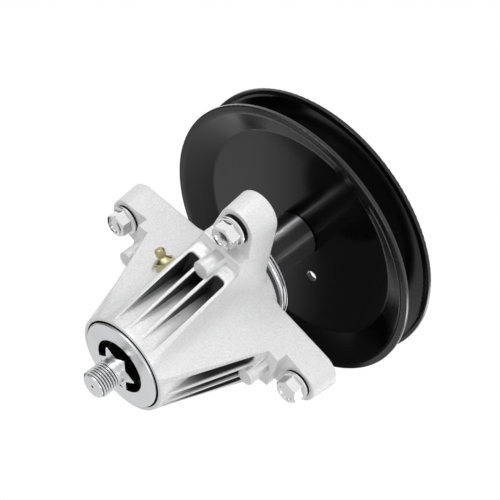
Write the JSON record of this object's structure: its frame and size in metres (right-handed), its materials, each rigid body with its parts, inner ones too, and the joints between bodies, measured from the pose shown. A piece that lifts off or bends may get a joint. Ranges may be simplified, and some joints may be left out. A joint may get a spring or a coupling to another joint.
{
  "type": "mower deck spindle",
  "caption": "Mower deck spindle: ribbed cast housing with screw ears, a shaft on ball bearings with a star and thread for the blade, and a black V-belt pulley on top.",
  "frame": {"origin": "on the shaft's axis, in the plane of the ears' undersides that seat on the deck", "axes": "+Z along the shaft from the blade end to the pulley; +X and +Y each along one leg of the housing"},
  "size_m": [0.1714, 0.1714, 0.1791],
  "materials": {
    "cast_aluminium": "fine cast, satin",
    "zinc_steel": "bright zinc plate",
    "yellow_zinc": "yellow zinc plate",
    "dark_steel": "blackened, turned",
    "turned_steel": "turned",
    "polished_steel": "polished",
    "black_paint": "gloss",
    "bearing_steel": "ground",
    "cage_steel": "pressed",
    "seal_rubber": "matt"
  },
  "bodies": {
    "housing": {"spindle_housing": "cast_aluminium", "mounting_screws": "zinc_steel", "grease_fitting": "yellow_zinc", "retaining_ring": "dark_steel", "lower_bearing_outer_race": "bearing_steel", "lower_bearing_lower_seal": "seal_rubber", "lower_bearing_upper_seal": "seal_rubber", "upper_bearing_outer_race": "bearing_steel", "upper_bearing_lower_seal": "seal_rubber", "upper_bearing_upper_seal": "seal_rubber"},
    "rotor": {"spindle_shaft": "turned_steel", "blade_seat_disc": "turned_steel", "lower_bearing_inner_race": "bearing_steel", "bearing_spacer": "turned_steel", "upper_bearing_inner_race": "bearing_steel", "dust_shield": "polished_steel", "pulley_sleeve": "dark_steel", "pulley_lower_half": "black_paint", "pulley_upper_half": "black_paint", "pulley_washer": "zinc_steel", "pulley_nut": "zinc_steel"},
    "lower_ball_set": {"lower_bearing_ball_cage": "cage_steel", "lower_bearing_balls": "bearing_steel"},
    "upper_ball_set": {"upper_bearing_ball_cage": "cage_steel", "upper_bearing_balls": "bearing_steel"}
  },
  "joints": [
    {"name": "spindle_spin", "type": "hinge", "parent": "housing", "child": "rotor", "pos_m": [0, 0, 0], "axis": [0, 0, 1], "continuous": true},
    {"name": "lower_ball_orbit", "type": "hinge", "parent": "housing", "child": "lower_ball_set", "pos_m": [0, 0, -0.0519], "axis": [0, 0, 1], "continuous": true},
    {"name": "upper_ball_orbit", "type": "hinge", "parent": "housing", "child": "upper_ball_set", "pos_m": [0, 0, 0.0147], "axis": [0, 0, 1], "continuous": true}
  ],
  "couplings": [
    {"joint": "lower_ball_orbit", "follows": "spindle_spin", "ratio": 0.38149},
    {"joint": "upper_ball_orbit", "follows": "spindle_spin", "ratio": 0.38149}
  ]
}
